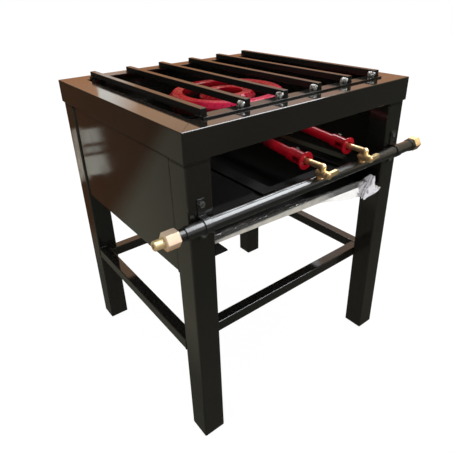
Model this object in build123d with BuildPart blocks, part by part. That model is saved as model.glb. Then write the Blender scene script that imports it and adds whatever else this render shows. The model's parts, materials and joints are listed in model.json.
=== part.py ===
from build123d import *
import math
import os

# Gas stove stand: a welded steel stand with a two-ring gas burner, a loose grate,
# a gas pipe with two lever valves across the front and a drip tray under the burner.
# Millimetres. X runs left to right, Y from front to back, Z up from the floor.
# The origin is on the floor, in the middle of the four legs.

# Stand
stand_width = 580.0
stand_depth = 540.0
stand_height = 690.0
leg_side = 50.0
leg_wall = 2.0
leg_corner = 3.0
foot_plate = 3.0
rail_flange = 50.0
rail_thick = 3.0
rail_edge = 1.2
sheet_thick = 1.5
panel_setback = 3.0
panel_bottom = 410.0
stretcher_side = 25.0
stretcher_wall = 1.5
stretcher_corner = 2.0
stretcher_top = 242.0

# Grate
grate_bars = 6
grate_bar_side = 12.7
grate_bar_edge = 0.8
grate_side_gap = 8.0
grate_shift = 6.0
grate_flat_width = 25.0
grate_flat_thick = 3.2
grate_lap = 16.0
grate_bar_stop = 9.0

# Burner
burner_drop = 25.0
casting_height = 133.0
ring_outer = 270.0
ring_width = 32.0
ring_height = 28.0
inner_outer = 130.0
inner_width = 30.0
inner_height = 26.0
ring_wall = 5.0
ring_shoulder = 10.0
ring_ease = 2.5
port_count = 48
port_size = 3.0
slot_count = 26
slot_width = 2.4
slot_depth = 7.0
rib_count = 3
rib_width = 12.0
rib_height = 8.0
rib_inset = 8.0
foot_angle = 27.0
foot_base = 7.0
foot_head = 10.0
support_width = 30.0
support_thick = 5.0
cross_side = 25.0
cross_thick = 3.0
cross_setback = 8.0

# Mixing tubes and air shutters
tube_outer = 22.0
tube_wall = 3.0
tube_rise = 5.0
tube_bend = 26.0
tube_offset = 11.0
mouth_setback = 22.0
shutter_play = 0.1
shutter_wall = 2.9
shutter_length = 40.0
shutter_lip = 2.0
shutter_disc = 38.0
shutter_disc_thick = 4.0
shutter_eye = 18.0
shutter_turn = 25.0
window_start = 6.0
window_length = 18.0
window_height = 9.0
lock_place = 31.0
lock_angle = 45.0
lock_screw = 4.0
lock_head = 7.5
lock_head_high = 3.0
lock_slot = 1.0
lock_tip_gap = 0.3

# Gas pipe
pipe_outer = 25.0
pipe_wall = 2.5
pipe_drop = 137.0
pipe_left_over = 18.0
pipe_right_over = 28.0
seat_play = 0.05
neck_size = 21.0
neck_length = 12.0
thread_depth = 12.0
nut_flats = 28.0
nut_length = 26.0
nut_shoulder = 7.0
nut_bevel = 1.6
inlet_collar = 5.0
inlet_size = 16.7
inlet_shank = 15.0
inlet_relief = 1.0
inlet_length = 18.0
inlet_bore = 8.5
inlet_bevel = 1.5
collar_outer = 29.0
collar_length = 10.0
collar_ease = 1.0
plug_flats = 28.0
plug_length = 22.0
plug_bevel = 2.0

# Pipe clamps
clamp_width = 15.0
clamp_thick = 2.0
clamp_upper_tab = 31.0
clamp_lower_tab = 17.0
clamp_screw_edge = 10.0
screw_size = 6.0
screw_play = 0.1
screw_flats = 10.0
screw_head_high = 4.0
screw_reach = 9.0

# Lever valves
valve_lean = 33.0
valve_neck = 13.8
spigot_size = 10.0
spigot_depth = 2.0
spigot_flats = 12.0
spigot_hex = 4.0
barrel_size = 16.0
barrel_half = 10.0
nozzle_rise = 14.0
nozzle_size = 12.5
elbow_size = 14.0
riser_size = 12.5
passage = 5.0
nozzle_bore = 6.2
jet_size = 8.0
jet_head = 6.0
jet_shank = 6.0
jet_hole = 1.4
cone_front = 12.0
cone_back = 9.2
cone_play = 0.05
stem_size = 8.0
stem_length = 9.5
tail_stub_size = 5.0
tail_stub_length = 7.0
tail_nut_flats = 9.0
tail_nut_thick = 5.0
valve_gap = 0.5
hub_size = 14.0
hub_thick = 8.0
lever_length = 28.0
lever_width = 9.5
lever_thick = 6.5
lever_tilt = 5.0
lever_ease = 1.0

# Drip tray
runner_flange = 30.0
runner_thick = 3.0
runner_drop = 52.0
runner_setback = 5.0
tray_depth = 440.0
tray_height = 15.0
tray_sheet = 1.0
tray_hem = 2.4
tray_hem_high = 3.0
tray_corner = 2.0
tray_play = 2.0
tray_setback = 25.0
tray_skew = 3.0
film_thick = 0.8
film_gap = 0.3
film_above = 1.0
film_lift = 0.6
film_end_gap = 8.0
film_fold = 2.0
bundle_inset = 38.0
bundle_ahead = 4.0
bundle_rings = ((34.0, 14.0, 6.0), (18.0, 50.0, 12.0), (-12.0, 78.0, 15.0), (-25.0, 68.0, 11.0))

# Places that follow from the sizes
half_width = stand_width / 2
half_depth = stand_depth / 2
leg_x = half_width - leg_side / 2
leg_y = half_depth - leg_side / 2
gap_x = half_width - leg_side
gap_y = half_depth - leg_side
leg_top = stand_height - rail_thick
stretcher_z = stretcher_top - stretcher_side / 2

opening_x = half_width + rail_thick - rail_flange
opening_y = half_depth + rail_thick - rail_flange
grate_flat_top = stand_height + grate_flat_thick
grate_span = 2 * (opening_x - grate_side_gap)
grate_pitch = (grate_span - grate_bar_side) / (grate_bars - 1)
grate_edge_y = opening_y + grate_lap
grate_bar_length = 2 * (grate_edge_y - grate_bar_stop)

burner_top = stand_height - burner_drop
ring_bottom = burner_top - ring_height
support_top = burner_top - casting_height
cross_top = support_top - support_thick
ring_middle = ring_outer / 2 - ring_width / 2
inner_middle = inner_outer / 2 - inner_width / 2
support_x = ring_middle * math.cos(math.radians(foot_angle))
support_y = half_depth - cross_setback

pipe_y = -half_depth - pipe_outer / 2
pipe_z = burner_top - pipe_drop
pipe_left = -half_width - pipe_left_over
pipe_right = half_width + pipe_right_over

lean = math.radians(valve_lean)
valve_reach = pipe_outer / 2 + valve_neck
valve_y = pipe_y - valve_reach * math.sin(lean)
valve_z = pipe_z + valve_reach * math.cos(lean)
nozzle_z = valve_z + nozzle_rise
mouth_y = -half_depth + mouth_setback
outer_tube_x = ring_middle + tube_offset
tubes = {"inner": 0.0, "outer": outer_tube_x}
rise = math.radians(tube_rise)
tube_axis = (0, math.cos(rise), math.sin(rise))

runner_top = cross_top - cross_side - runner_drop
skew = math.radians(tray_skew)
tray_room = 2 * (gap_x - runner_thick - tray_play)
tray_width = (tray_room - tray_depth * math.sin(skew)) / math.cos(skew)
tray_y = -half_depth + tray_setback + tray_depth / 2
tray_plane = Plane((0, tray_y, runner_top), x_dir=(math.cos(skew), -math.sin(skew), 0))

corners = {
    "front_left": (-1, -1),
    "front_right": (1, -1),
    "rear_left": (-1, 1),
    "rear_right": (1, 1),
}
sides = {"left": -1, "right": 1}
ends = {"front": -1, "rear": 1}


os.makedirs("parts", exist_ok=True)


def save(piece, name):
    """Label a finished piece and write its file."""
    piece.part.label = name
    export_step(piece.part, f"parts/{name}.step")


def tube_section(side, wall, corner):
    """The section of a square tube, on the current sketch."""
    RectangleRounded(side, side, corner)
    RectangleRounded(side - 2 * wall, side - 2 * wall, corner / 2, mode=Mode.SUBTRACT)


def square_tube(plane, length):
    """A stretcher's square tube that starts on the plane and runs along its normal."""
    with BuildPart() as tube:
        with BuildSketch(plane):
            tube_section(stretcher_side, stretcher_wall, stretcher_corner)
        extrude(amount=length)
    return tube


def angle_bar(plane, flange, thick, length):
    """An angle bar along the plane's normal, its outer corner on the plane's origin."""
    with BuildPart() as bar:
        with BuildSketch(plane):
            Polygon(
                (0, 0), (flange, 0), (flange, thick), (thick, thick), (thick, flange), (0, flange),
                align=None,
            )
        extrude(amount=length)
    return bar


def across(x):
    """A plane square to the gas pipe, centred on it, facing right."""
    return Plane((x, pipe_y, pipe_z), x_dir=(0, 1, 0), z_dir=(1, 0, 0))


# Legs: square tubes on welded foot plates. The front pair is drilled for the clamp screws.
clamp_inner = pipe_outer / 2 + seat_play
clamp_outer = clamp_inner + clamp_thick
screw_heights = (
    pipe_z + clamp_outer + clamp_upper_tab - clamp_screw_edge,
    pipe_z - clamp_outer - clamp_lower_tab + clamp_screw_edge,
)


def facing_front(x, y):
    """An upright plane on the floor that faces the front of the stand."""
    return Plane((x, y, 0), x_dir=(1, 0, 0), z_dir=(0, -1, 0))


def screw_holes():
    """Circles for a clamp's two screws, on the current sketch."""
    with Locations(*[(0, height) for height in screw_heights]):
        Circle(screw_size / 2 + screw_play)


for corner_name, (sx, sy) in corners.items():
    with BuildPart() as leg:
        with BuildSketch(Plane((sx * leg_x, sy * leg_y, foot_plate))):
            tube_section(leg_side, leg_wall, leg_corner)
        extrude(amount=leg_top - foot_plate)
        if sy < 0:
            with BuildSketch(facing_front(sx * leg_x, -half_depth)):
                screw_holes()
            extrude(amount=-2 * leg_wall, mode=Mode.SUBTRACT)
    save(leg, f"leg_{corner_name}")

with BuildPart() as foot_plates:
    with BuildSketch():
        with GridLocations(2 * leg_x, 2 * leg_y, 2, 2):
            RectangleRounded(leg_side, leg_side, leg_corner)
    extrude(amount=foot_plate)
save(foot_plates, "leg_foot_plates")

# Top frame: four angle rails, mitred at the corners, lapping the outside of the legs.
rail_planes = {
    "front": (Plane((0, -half_depth - rail_thick, 0), x_dir=(1, 0, 0)), half_width),
    "right": (Plane((half_width + rail_thick, 0, 0), x_dir=(0, 1, 0)), half_depth),
    "rear": (Plane((0, half_depth + rail_thick, 0), x_dir=(-1, 0, 0)), half_width),
    "left": (Plane((-half_width - rail_thick, 0, 0), x_dir=(0, -1, 0)), half_depth),
}


def mitred(half_length, depth):
    """A strip whose two ends are cut at 45 degrees, on the current sketch."""
    inner = half_length - depth
    Polygon((-half_length, 0), (half_length, 0), (inner, depth), (-inner, depth), align=None)


for rail_name, (plane, half_run) in rail_planes.items():
    half_length = half_run + rail_thick
    with BuildPart() as rail:
        with BuildSketch(plane.offset(stand_height - rail_flange)):
            mitred(half_length, rail_thick)
        extrude(amount=rail_flange)
        with BuildSketch(plane.offset(leg_top)):
            mitred(half_length, rail_flange)
        extrude(amount=rail_thick)
        outer_edge = rail.edges().sort_by_distance(plane.from_local_coords((0, 0, stand_height)))[0]
        fillet(outer_edge, rail_edge)
    save(rail, f"top_rail_{rail_name}")

# Side panels and back panel: plain sheet between the legs, up under the rails,
# set back so that its ends meet the flat of each leg behind the rounded corner.
panel_in = panel_setback + sheet_thick / 2
panels = {
    "side_panel_left": (-half_width + panel_in, 0, sheet_thick, 2 * gap_y),
    "side_panel_right": (half_width - panel_in, 0, sheet_thick, 2 * gap_y),
    "back_panel": (0, half_depth - panel_in, 2 * gap_x, sheet_thick),
}
for panel_name, (x, y, size_x, size_y) in panels.items():
    with BuildPart() as panel:
        with BuildSketch(Plane((x, y, panel_bottom))):
            Rectangle(size_x, size_y)
        extrude(amount=leg_top - panel_bottom)
    save(panel, panel_name)

# Lower stretchers: the side pair between the legs, the front and rear pair between the sides.
for side_name, sx in sides.items():
    side_x = sx * (half_width - stretcher_side / 2)
    bar = square_tube(Plane((side_x, -gap_y, stretcher_z), x_dir=(1, 0, 0), z_dir=(0, 1, 0)), 2 * gap_y)
    save(bar, f"stretcher_{side_name}")

for end_name, sy in ends.items():
    run = stand_width - 2 * stretcher_side
    end_y = sy * (gap_y - stretcher_side / 2)
    bar = square_tube(Plane((-run / 2, end_y, stretcher_z), x_dir=(0, 1, 0), z_dir=(1, 0, 0)), run)
    save(bar, f"stretcher_{end_name}")

# Tray runners: angle bars on the inner faces of the legs, their ledges turned inwards.
runner_run = 2 * (half_depth - runner_setback)
runner_starts = {
    "left": Plane((-gap_x, half_depth - runner_setback, runner_top - runner_thick), (1, 0, 0), (0, -1, 0)),
    "right": Plane((gap_x, -half_depth + runner_setback, runner_top - runner_thick), (-1, 0, 0), (0, 1, 0)),
}
for side_name, start in runner_starts.items():
    runner = angle_bar(start, runner_flange, runner_thick, runner_run)
    save(runner, f"tray_runner_{side_name}")

# Burner carrier: two cross bars between the legs, and two flat bars laid over them.
cross_starts = {
    "front": Plane((-gap_x, -support_y, cross_top), x_dir=(0, 1, 0), z_dir=(1, 0, 0)),
    "rear": Plane((gap_x, support_y, cross_top), x_dir=(0, -1, 0), z_dir=(-1, 0, 0)),
}
for end_name, start in cross_starts.items():
    with BuildPart() as cross_bar:
        with BuildSketch(start):
            Polygon(
                (0, 0), (cross_side, 0), (cross_side, -cross_thick), (cross_thick, -cross_thick),
                (cross_thick, -cross_side), (0, -cross_side), align=None,
            )
        extrude(amount=2 * gap_x)
    save(cross_bar, f"burner_cross_bar_{end_name}")

for side_name, sx in sides.items():
    with BuildPart() as support:
        with BuildSketch(Plane((sx * support_x, 0, cross_top))):
            Rectangle(support_width, 2 * support_y)
        extrude(amount=support_thick)
    save(support, f"burner_support_{side_name}")


# Burner: two hollow ring castings, each with its own mixing tube.
def ring_section(outer, width, bottom, top, inset):
    """The ring's section, drawn in by the inset all round, with a sloped outer shoulder."""
    far = outer / 2 - inset
    near = outer / 2 - width + inset
    low = bottom + inset
    high = top - inset
    slope = ring_shoulder - inset * (2 - math.sqrt(2))
    Polygon((near, low), (far, low), (far, high - slope), (far - slope, high), (near, high), align=None)


def mouth_plane(x, turn=0.0):
    """The plane of a mixing tube's mouth: x to the left, y up, z into the tube."""
    return Plane((x, mouth_y, nozzle_z), x_dir=(-1, 0, 0), z_dir=tube_axis).rotated((0, 0, turn))


def mixing_tube(x, riser_y, riser_top, size):
    """A round of the given size along a mixing tube: in from the mouth, rising, then up."""
    knee = nozzle_z + math.tan(rise) * (riser_y - mouth_y)
    with BuildPart() as tube:
        with BuildLine():
            route = [(x, mouth_y, nozzle_z), (x, riser_y, knee), (x, riser_y, riser_top)]
            FilletPolyline(*route, radius=tube_bend)
        with BuildSketch(mouth_plane(x)):
            Circle(size / 2)
        sweep()
    return tube.part


port_tilt = math.radians(45)
port_radius = ring_outer / 2 - ring_shoulder / 2
port_height = burner_top - ring_shoulder / 2
port_planes = []
for number in range(port_count):
    turn = 2 * math.pi * (number + 0.5) / port_count
    place = (port_radius * math.cos(turn), port_radius * math.sin(turn), port_height)
    out = (math.cos(turn) * math.cos(port_tilt), math.sin(turn) * math.cos(port_tilt), math.sin(port_tilt))
    port_planes.append(Plane(place, z_dir=out))

tube_bore = tube_outer - 2 * tube_wall
outer_tube = mixing_tube(outer_tube_x, 0, ring_bottom + ring_height / 2, tube_outer)
outer_tube_bore = mixing_tube(outer_tube_x, 0, ring_bottom + 2 * ring_wall, tube_bore)
with BuildPart() as burner_outer:
    with BuildSketch(Plane.XZ) as outer_section:
        ring_section(ring_outer, ring_width, ring_bottom, burner_top, 0)
        fillet(outer_section.vertices(), ring_ease)
    revolve(axis=Axis.Z)
    with Locations(*[
        (sx * support_x, sy * ring_middle * math.sin(math.radians(foot_angle)), support_top)
        for sx, sy in corners.values()
    ]):
        Cone(foot_base, foot_head, ring_bottom - support_top, align=(Align.CENTER, Align.CENTER, Align.MIN))
    rib_end = inner_outer / 2 - rib_inset
    rib_run = ring_middle - rib_end
    with Locations((0, 0, ring_bottom - rib_height / 2)):
        with PolarLocations(rib_end + rib_run / 2, rib_count, start_angle=90):
            Box(rib_run, rib_width, rib_height)
    add(outer_tube)
    with BuildSketch(Plane.XZ):
        ring_section(ring_outer, ring_width, ring_bottom, burner_top, ring_wall)
    revolve(axis=Axis.Z, mode=Mode.SUBTRACT)
    add(outer_tube_bore, mode=Mode.SUBTRACT)
    with BuildSketch(mouth_plane(outer_tube_x).offset(window_start)):
        Rectangle(2 * tube_outer, window_height)
    extrude(amount=window_length, mode=Mode.SUBTRACT)
    with Locations(*port_planes):
        Cylinder(port_size / 2, 3 * ring_wall, mode=Mode.SUBTRACT)
save(burner_outer, "burner_outer_ring")

inner_top = ring_bottom + inner_height
inner_tube = mixing_tube(0, -inner_middle, ring_bottom + ring_wall, tube_outer)
inner_tube_bore = mixing_tube(0, -inner_middle, ring_bottom + 2 * ring_wall, tube_bore)
with BuildPart() as burner_inner:
    with BuildSketch(Plane.XZ) as inner_section:
        ring_section(inner_outer, inner_width, ring_bottom, inner_top, 0)
        fillet(inner_section.vertices(), ring_ease)
    revolve(axis=Axis.Z)
    add(inner_tube)
    with BuildSketch(Plane.XZ):
        ring_section(inner_outer, inner_width, ring_bottom, inner_top, ring_wall)
    revolve(axis=Axis.Z, mode=Mode.SUBTRACT)
    add(inner_tube_bore, mode=Mode.SUBTRACT)
    with BuildSketch(mouth_plane(0).offset(window_start)):
        Rectangle(2 * tube_outer, window_height)
    extrude(amount=window_length, mode=Mode.SUBTRACT)
    with Locations((0, 0, inner_top)):
        with PolarLocations(inner_outer / 2, slot_count):
            Box(2 * ring_shoulder, slot_width, 2 * slot_depth, mode=Mode.SUBTRACT)
save(burner_inner, "burner_inner_ring")


# Air shutters: a sleeve with a front disc that turns on each tube's end, and its lock screw.
def lock_plane(x, reach):
    """A plane square to a shutter's lock screw, at a distance from the tube's axis."""
    mouth = mouth_plane(x)
    turn = math.radians(lock_angle)
    out = mouth.y_dir * math.cos(turn) - mouth.x_dir * math.sin(turn)
    return Plane(mouth.origin + mouth.z_dir * lock_place + out * reach, x_dir=mouth.z_dir, z_dir=out)


sleeve_bore = tube_outer / 2 + shutter_play
sleeve_outer = sleeve_bore + shutter_wall
for ring_name, x in tubes.items():
    plane = mouth_plane(x)
    with BuildPart() as shutter:
        with BuildSketch(plane.offset(-shutter_lip)):
            Circle(sleeve_outer)
            Circle(sleeve_bore, mode=Mode.SUBTRACT)
        extrude(amount=shutter_length)
        with BuildSketch(plane.offset(-shutter_lip)):
            Circle(shutter_disc / 2)
            Circle(shutter_eye / 2, mode=Mode.SUBTRACT)
        extrude(amount=-shutter_disc_thick)
        rims = shutter.edges().filter_by(GeomType.CIRCLE).sort_by(SortBy.RADIUS)[-2:]
        fillet(rims, shutter_disc_thick / 3)
        with BuildSketch(mouth_plane(x, shutter_turn).offset(window_start)):
            Rectangle(2 * tube_outer, window_height)
        extrude(amount=window_length, mode=Mode.SUBTRACT)
        with BuildSketch(lock_plane(x, 0)):
            Circle(lock_screw / 2 + screw_play)
        extrude(amount=shutter_disc, mode=Mode.SUBTRACT)
    save(shutter, f"air_shutter_{ring_name}")
    with BuildPart() as lock:
        lock_tip = tube_outer / 2 + lock_tip_gap
        with BuildSketch(lock_plane(x, lock_tip)):
            Circle(lock_screw / 2)
        extrude(amount=sleeve_outer - lock_tip)
        with BuildSketch(lock_plane(x, sleeve_outer)):
            Circle(lock_head / 2)
        extrude(amount=lock_head_high)
        with BuildSketch(lock_plane(x, sleeve_outer + lock_head_high)):
            Rectangle(lock_head, lock_slot)
        extrude(amount=-lock_head_high / 2, mode=Mode.SUBTRACT)
    save(lock, f"shutter_lock_screw_{ring_name}")


# Gas pipe: a steel tube across the front of the legs, drilled for the two valves.
def spigot_plane(x, reach):
    """A plane square to a valve's leaning spigot, at a distance from the pipe's axis."""
    out = Vector(0, -math.sin(lean), math.cos(lean))
    return Plane(Vector(x, pipe_y, pipe_z) + out * reach, x_dir=(1, 0, 0), z_dir=out)


pipe_bore = pipe_outer / 2 - pipe_wall
with BuildPart() as gas_pipe:
    with BuildSketch(across(pipe_left)):
        Circle(pipe_outer / 2)
        Circle(pipe_bore, mode=Mode.SUBTRACT)
    extrude(amount=pipe_right - pipe_left)
    for x in tubes.values():
        with BuildSketch(spigot_plane(x, 0)):
            Circle(spigot_size / 2 + seat_play)
        extrude(amount=pipe_outer, mode=Mode.SUBTRACT)
save(gas_pipe, "gas_pipe")

# Left end of the pipe: a nipple in its bore, a union nut over it, and the inlet that it holds.
nut_right = pipe_left - neck_length
nut_left = nut_right - nut_length
seat_x = nut_left + nut_shoulder
with BuildPart() as nipple:
    with BuildSketch(across(pipe_left)):
        Circle(pipe_bore - seat_play)
    extrude(amount=thread_depth)
    with BuildSketch(across(seat_x + inlet_collar)):
        Circle(neck_size / 2)
    extrude(amount=pipe_left - seat_x - inlet_collar)
    with BuildSketch(across(seat_x)):
        Circle(inlet_bore / 2)
    extrude(amount=pipe_outer + nut_length + neck_length, mode=Mode.SUBTRACT)
save(nipple, "inlet_nipple")


def hexagon(flats):
    """A hexagon of the given size across its flats, on the current sketch."""
    RegularPolygon(flats / 2, 6, major_radius=False)


with BuildPart() as union_nut:
    with BuildSketch(across(nut_left)):
        hexagon(nut_flats)
    extrude(amount=nut_length)
    chamfer(union_nut.edges().group_by(Axis.X)[0], nut_bevel)
    chamfer(union_nut.edges().group_by(Axis.X)[-1], nut_bevel)
    with BuildSketch(across(seat_x)):
        Circle(neck_size / 2 + seat_play)
    extrude(amount=nut_length, mode=Mode.SUBTRACT)
    with BuildSketch(across(nut_left)):
        Circle(inlet_shank / 2 + seat_play)
    extrude(amount=nut_length, mode=Mode.SUBTRACT)
save(union_nut, "union_nut")

with BuildPart() as inlet:
    with BuildSketch(across(nut_left - inlet_length)):
        Circle(inlet_size / 2)
    extrude(amount=inlet_length - inlet_relief)
    chamfer(inlet.edges().group_by(Axis.X)[0], inlet_bevel)
    with BuildSketch(across(nut_left - inlet_relief)):
        Circle(inlet_shank / 2)
    extrude(amount=inlet_relief + nut_shoulder)
    with BuildSketch(across(seat_x)):
        Circle(neck_size / 2)
    extrude(amount=inlet_collar)
    with BuildSketch(across(nut_left - inlet_length)):
        Circle(inlet_bore / 2)
    extrude(amount=inlet_length + nut_length, mode=Mode.SUBTRACT)
save(inlet, "gas_inlet")

# Right end of the pipe: a collar and the hexagon plug that closes it.
with BuildPart() as collar:
    with BuildSketch(across(pipe_right)):
        Circle(collar_outer / 2)
    extrude(amount=collar_length)
    fillet(collar.edges(), collar_ease)
    with BuildSketch(across(pipe_right)):
        Circle(pipe_bore)
    extrude(amount=collar_length, mode=Mode.SUBTRACT)
save(collar, "end_collar")

with BuildPart() as end_plug:
    with BuildSketch(across(pipe_right + collar_length)):
        hexagon(plug_flats)
    extrude(amount=plug_length)
    chamfer(end_plug.edges().group_by(Axis.X)[-1], plug_bevel)
    with BuildSketch(across(pipe_right + collar_length)):
        Circle(pipe_bore - seat_play)
    extrude(amount=-collar_length - thread_depth)
save(end_plug, "end_plug")

# Pipe clamps: a strap bent over the pipe, screwed to each front leg above and below it.
leg_face = pipe_outer / 2
tab_middle = leg_face - clamp_thick / 2
for side_name, sx in sides.items():
    with BuildPart() as clamp:
        with BuildSketch(across(sx * leg_x - clamp_width / 2)):
            Circle(clamp_outer)
            Circle(clamp_inner, mode=Mode.SUBTRACT)
            with Locations((clamp_outer, 0)):
                Rectangle(2 * clamp_outer, 2 * clamp_outer, mode=Mode.SUBTRACT)
            with Locations((leg_face / 2, clamp_inner + clamp_thick / 2)):
                Rectangle(leg_face, clamp_thick)
            with Locations((leg_face / 2, -clamp_inner - clamp_thick / 2)):
                Rectangle(leg_face, clamp_thick)
            with Locations((tab_middle, clamp_outer + clamp_upper_tab / 2)):
                Rectangle(clamp_thick, clamp_upper_tab)
            with Locations((tab_middle, -clamp_outer - clamp_lower_tab / 2)):
                Rectangle(clamp_thick, clamp_lower_tab)
        extrude(amount=clamp_width)
        with BuildSketch(facing_front(sx * leg_x, -half_depth - clamp_thick)):
            screw_holes()
        extrude(amount=-clamp_thick, mode=Mode.SUBTRACT)
    save(clamp, f"pipe_clamp_{side_name}")

screw_seat = facing_front(0, -half_depth - clamp_thick)
with BuildPart() as clamp_screws:
    screw_places = [(sx * leg_x, height) for sx in sides.values() for height in screw_heights]
    with BuildSketch(screw_seat):
        with Locations(*screw_places):
            hexagon(screw_flats)
    extrude(amount=screw_head_high)
    with BuildSketch(screw_seat):
        with Locations(*screw_places):
            Circle(screw_size / 2)
    extrude(amount=-screw_reach)
save(clamp_screws, "clamp_screws")


# Lever valves: a brass body on a leaning spigot, with a tapered plug that the lever turns.
def facing_back(x, y, z):
    """An upright plane that faces the back of the stand."""
    return Plane((x, y, z), x_dir=(1, 0, 0), z_dir=(0, 1, 0))


def half_section(*outline):
    """Half of a turned piece: distances along its axis, and radii, on the current sketch."""
    Polygon((outline[0][0], 0), *outline, (outline[-1][0], 0), align=None)


nozzle_end = mouth_y - shutter_lip
spigot_run = valve_neck + spigot_depth
spigot_start = pipe_outer / 2 - spigot_depth
hub_back = valve_y - barrel_half - valve_gap
for ring_name, x in tubes.items():
    plug_line = Axis((x, valve_y, valve_z), (0, 1, 0))
    plug_plane = Plane((x, valve_y, valve_z), x_dir=(0, 1, 0), z_dir=(1, 0, 0))
    with BuildPart() as valve_body:
        with BuildSketch(spigot_plane(x, spigot_start)):
            Circle(spigot_size / 2)
        extrude(amount=spigot_run)
        with BuildSketch(spigot_plane(x, pipe_outer / 2)):
            hexagon(spigot_flats)
        extrude(amount=spigot_hex)
        with BuildSketch(facing_back(x, valve_y - barrel_half, valve_z)):
            Circle(barrel_size / 2)
        extrude(amount=2 * barrel_half)
        with BuildSketch(Plane((x, valve_y, valve_z))):
            Circle(riser_size / 2)
        extrude(amount=nozzle_rise)
        with Locations((x, valve_y, nozzle_z)):
            Sphere(elbow_size / 2)
        with BuildSketch(facing_back(x, valve_y, nozzle_z)):
            Circle(nozzle_size / 2)
        extrude(amount=nozzle_end - valve_y)
        with BuildSketch(plug_plane):
            half_section((-barrel_half, cone_front / 2 + cone_play), (barrel_half, cone_back / 2 + cone_play))
        revolve(axis=plug_line, mode=Mode.SUBTRACT)
        with BuildSketch(spigot_plane(x, spigot_start)):
            Circle(passage / 2)
        extrude(amount=spigot_run, mode=Mode.SUBTRACT)
        with BuildSketch(Plane((x, valve_y, valve_z))):
            Circle(passage / 2)
        extrude(amount=nozzle_rise, mode=Mode.SUBTRACT)
        with BuildSketch(facing_back(x, valve_y, nozzle_z)):
            Circle(nozzle_bore / 2)
        extrude(amount=nozzle_end - valve_y, mode=Mode.SUBTRACT)
    save(valve_body, f"valve_body_{ring_name}")

    with BuildPart() as valve_plug:
        with BuildSketch(plug_plane):
            half_section(
                (-barrel_half - stem_length, stem_size / 2), (-barrel_half, stem_size / 2),
                (-barrel_half, cone_front / 2), (barrel_half, cone_back / 2),
                (barrel_half, tail_stub_size / 2), (barrel_half + tail_stub_length, tail_stub_size / 2),
            )
        revolve(axis=plug_line)
        with BuildSketch(plug_plane):
            Circle(passage / 2)
        extrude(amount=barrel_size, both=True, mode=Mode.SUBTRACT)
    save(valve_plug, f"valve_plug_{ring_name}")

    tilt = math.radians(lever_tilt)
    lever_plane = Plane((x, hub_back, valve_z), x_dir=(math.cos(tilt), 0, math.sin(tilt)), z_dir=(0, -1, 0))
    lever_reach = lever_length - lever_width / 2
    with BuildPart() as lever:
        with BuildSketch(lever_plane):
            with Locations((lever_reach / 2, 0)):
                SlotCenterToCenter(lever_reach, lever_width)
        extrude(amount=lever_thick)
        with BuildSketch(lever_plane):
            Circle(hub_size / 2)
        extrude(amount=hub_thick)
        fillet(lever.faces().sort_by(Axis.Y)[0].outer_wire().edges(), lever_ease)
        with BuildSketch(lever_plane):
            Circle(stem_size / 2 + seat_play)
        extrude(amount=hub_thick, mode=Mode.SUBTRACT)
    save(lever, f"valve_lever_{ring_name}")

    with BuildPart() as tail_nut:
        with BuildSketch(facing_back(x, valve_y + barrel_half + valve_gap, valve_z)):
            hexagon(tail_nut_flats)
            Circle(tail_stub_size / 2 + seat_play, mode=Mode.SUBTRACT)
        extrude(amount=tail_nut_thick)
    save(tail_nut, f"valve_tail_nut_{ring_name}")

with BuildPart() as gas_jets:
    for x in tubes.values():
        with BuildSketch(facing_back(x, nozzle_end, nozzle_z)):
            Circle(jet_size / 2)
        extrude(amount=jet_head)
        with BuildSketch(facing_back(x, nozzle_end, nozzle_z)):
            Circle(nozzle_bore / 2 - seat_play)
        extrude(amount=-jet_shank)
        with BuildSketch(facing_back(x, nozzle_end - jet_shank, nozzle_z)):
            Circle(jet_hole / 2)
        extrude(amount=jet_shank + jet_head, mode=Mode.SUBTRACT)
save(gas_jets, "gas_jets")

# Grate: square bars on two flats that lie on the front and rear rails.
for number in range(grate_bars):
    x = grate_shift + (number - (grate_bars - 1) / 2) * grate_pitch
    with BuildPart() as grate_bar:
        with BuildSketch(facing_back(x, -grate_bar_length / 2, grate_flat_top + grate_bar_side / 2)):
            RectangleRounded(grate_bar_side, grate_bar_side, grate_bar_edge)
        extrude(amount=grate_bar_length)
    save(grate_bar, f"grate_bar_{number + 1}")

for end_name, sy in ends.items():
    with BuildPart() as grate_flat:
        with BuildSketch(Plane((grate_shift, sy * (grate_edge_y - grate_flat_width / 2), stand_height))):
            Rectangle(grate_span, grate_flat_width)
        extrude(amount=grate_flat_thick)
    save(grate_flat, f"grate_flat_{end_name}")

# Drip tray: a shallow pan with a hemmed rim, lying a little askew on its runners.
def tray_outline(inset):
    """The tray's outline, drawn in by the inset all round."""
    corner = tray_corner + tray_hem - inset
    RectangleRounded(tray_width - 2 * inset, tray_depth - 2 * inset, corner)


with BuildPart() as tray:
    with BuildSketch(tray_plane):
        tray_outline(0)
    extrude(amount=tray_height)
    with BuildSketch(tray_plane.offset(tray_sheet)):
        tray_outline(tray_sheet)
    extrude(amount=tray_height - tray_sheet - tray_hem_high, mode=Mode.SUBTRACT)
    with BuildSketch(tray_plane.offset(tray_height - tray_hem_high)):
        tray_outline(tray_hem)
    extrude(amount=tray_hem_high, mode=Mode.SUBTRACT)
save(tray, "drip_tray")

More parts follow.
